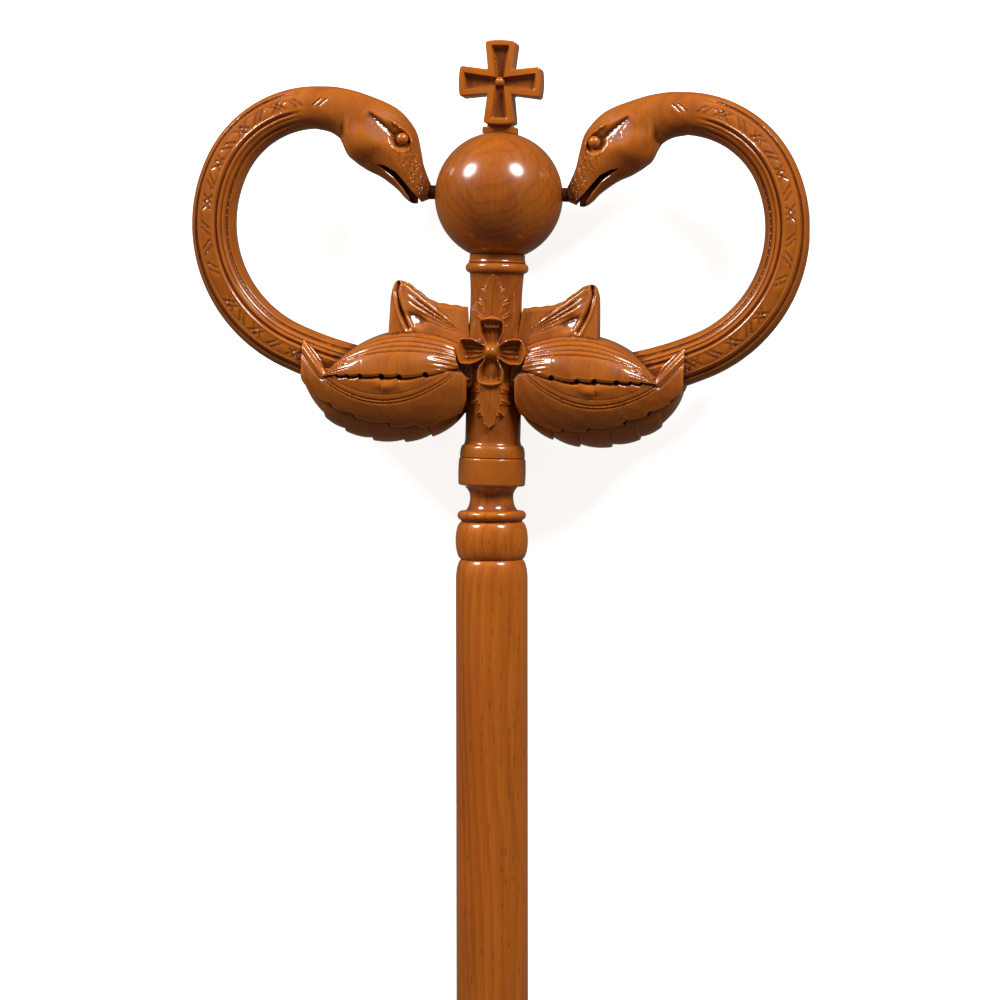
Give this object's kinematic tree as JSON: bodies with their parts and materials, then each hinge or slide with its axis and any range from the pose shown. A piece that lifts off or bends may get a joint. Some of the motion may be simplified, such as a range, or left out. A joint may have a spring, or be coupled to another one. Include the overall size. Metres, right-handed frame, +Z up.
{
  "type": "bishop crosier",
  "caption": "Carved wooden bishop's staff lying on its back: serpents rise from leaf sheaths to face an orb with a flared cross.",
  "frame": {"origin": "middle of the crosier's footprint on the surface it lies on", "axes": "+Y along the staff towards the cross, +Z up out of the carved front, +X to the right as the front is seen with the cross at the top"},
  "size_m": [0.258, 1.5002, 0.0549],
  "materials": {
    "staff_wood": "straight-grained beech under glossy amber lacquer",
    "carved_wood": "carved beech under glossy amber lacquer, darker in the recesses",
    "orb_wood": "turned beech under glossy amber lacquer, with ring figure"
  },
  "bodies": {
    "root": {"staff": "staff_wood", "head_stem": "carved_wood", "orb": "orb_wood", "cross": "carved_wood", "serpent_left": "carved_wood", "serpent_right": "carved_wood"}
  },
  "joints": []
}
